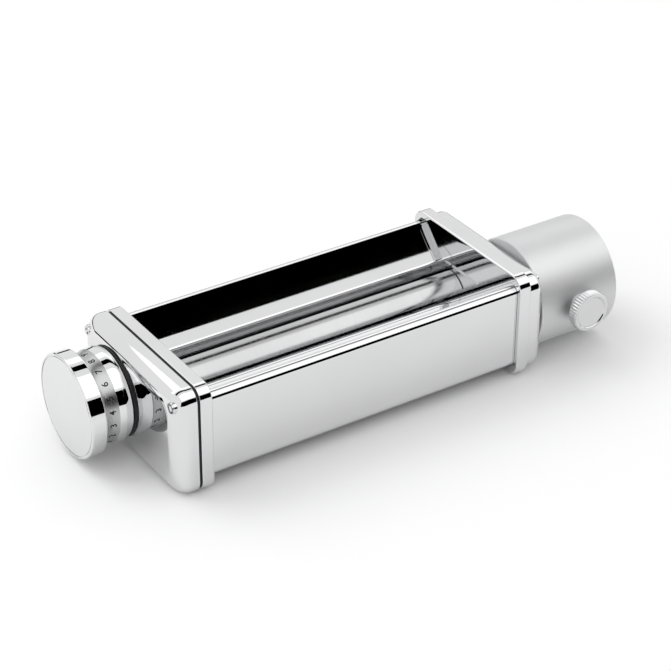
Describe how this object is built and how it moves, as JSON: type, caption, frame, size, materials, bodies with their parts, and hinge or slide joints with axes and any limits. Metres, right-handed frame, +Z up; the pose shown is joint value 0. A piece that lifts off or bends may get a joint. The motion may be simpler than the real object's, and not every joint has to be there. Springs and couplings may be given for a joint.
{
  "type": "pasta roller machine",
  "caption": "Motor-driven sheet pasta roller with hopper, gap dial and clamping drive barrel.",
  "frame": {"origin": "bottom centre of the bounding box, on the surface the machine rests on", "axes": "+X along the rollers towards the drive barrel, +Z up, +Y towards the rear panel"},
  "size_m": [0.26, 0.0896, 0.0535],
  "materials": {
    "chrome_sheet": "mirror polished",
    "chrome_cast": "mirror polished",
    "roller_aluminium": "satin anodised",
    "barrel_aluminium": "bead blasted",
    "stainless": "fine ground",
    "steel": "machined",
    "bright_steel": "bright nickel",
    "number_ring": "satin",
    "dial_face": "fine satin",
    "bronze": "sintered",
    "black_plastic": "moulded",
    "gear_steel": "hobbed",
    "white_nylon": "moulded"
  },
  "bodies": {
    "housing": {"front_panel": "chrome_sheet", "rear_panel": "chrome_sheet", "left_flange": "chrome_cast", "right_flange": "chrome_cast", "left_end_plate": "stainless", "right_end_plate": "stainless", "left_gasket": "black_plastic", "left_cap": "chrome_cast", "right_cap": "chrome_cast", "coupling_barrel": "barrel_aluminium", "tie_rods": "steel", "left_tie_screws": "steel", "right_tie_screws": "steel", "left_cap_screws": "bright_steel", "right_cap_screws": "bright_steel", "barrel_screws": "steel", "rear_bush_left": "bronze", "rear_bush_right": "bronze", "rear_scraper": "black_plastic", "input_bearing": "bronze", "dial_bush": "black_plastic", "dial_seal_ring": "black_plastic", "detent_ball": "steel", "detent_spring": "steel", "thumbscrew_insert": "bronze"},
    "input_drive": {"input_shaft": "steel", "input_gear": "gear_steel", "drive_coupling": "gear_steel"},
    "rear_roller": {"rear_roller": "roller_aluminium", "rear_roller_shaft": "steel", "rear_shaft_ring": "steel", "rear_mesh_gear": "gear_steel", "rear_drive_gear": "gear_steel"},
    "carriage": {"left_slide_block": "bronze", "right_slide_block": "bronze", "link_bar": "steel", "follower_arm": "steel", "follower_pin": "steel", "front_scraper": "black_plastic"},
    "front_roller": {"front_roller": "roller_aluminium", "front_roller_shaft": "steel", "front_shaft_ring": "steel", "front_mesh_gear": "gear_steel"},
    "dial_spindle": {"dial_spindle": "steel", "scroll_cam": "gear_steel", "spindle_washer": "steel", "spindle_screw": "steel"},
    "dial_knob": {"dial_body": "chrome_cast", "dial_number_ring": "number_ring", "dial_disc": "dial_face", "dial_spring": "steel"},
    "thumb_pad": {"thumbscrew_pad": "white_nylon"},
    "thumbscrew": {"thumbscrew": "bright_steel"}
  },
  "joints": [
    {"name": "rear_roller_spin", "type": "hinge", "parent": "housing", "child": "rear_roller", "pos_m": [-0.0085, 0.0165, 0.0185], "axis": [1, 0, 0], "continuous": true},
    {"name": "input_spin", "type": "hinge", "parent": "housing", "child": "input_drive", "pos_m": [0.0905, -0.00998, 0.0268], "axis": [1, 0, 0], "continuous": true},
    {"name": "roller_gap", "type": "slide", "parent": "housing", "child": "carriage", "axis": [0, -1, 0], "range_m": [0, 0.0024]},
    {"name": "front_roller_spin", "type": "hinge", "parent": "carriage", "child": "front_roller", "pos_m": [-0.0085, -0.0099, 0.0185], "axis": [1, 0, 0], "continuous": true},
    {"name": "dial_turn", "type": "hinge", "parent": "housing", "child": "dial_spindle", "pos_m": [-0.1083, 0.017, 0.0265], "axis": [-1, 0, 0], "range_deg": [0, 162]},
    {"name": "dial_pull", "type": "slide", "parent": "dial_spindle", "child": "dial_knob", "axis": [-1, 0, 0], "range_m": [0, 0.004], "stiffness_N_per_m": 900, "springref_m": -0.005, "deforming": ["dial_spring"]},
    {"name": "thumb_travel", "type": "slide", "parent": "housing", "child": "thumb_pad", "axis": [0, 1, 0], "range_m": [0, 0.00251]},
    {"name": "thumb_turn", "type": "hinge", "parent": "thumb_pad", "child": "thumbscrew", "pos_m": [0.1085, -0.0397, 0.0268], "axis": [0, 1, 0], "range_deg": [0, 900]}
  ],
  "couplings": [
    {"joint": "input_spin", "follows": "rear_roller_spin", "ratio": -0.94737},
    {"joint": "front_roller_spin", "follows": "rear_roller_spin", "ratio": -1},
    {"joint": "dial_turn", "follows": "roller_gap", "rad_per_m": 1178.1},
    {"joint": "thumb_travel", "follows": "thumb_turn", "m_per_rad": 0.00015915}
  ]
}
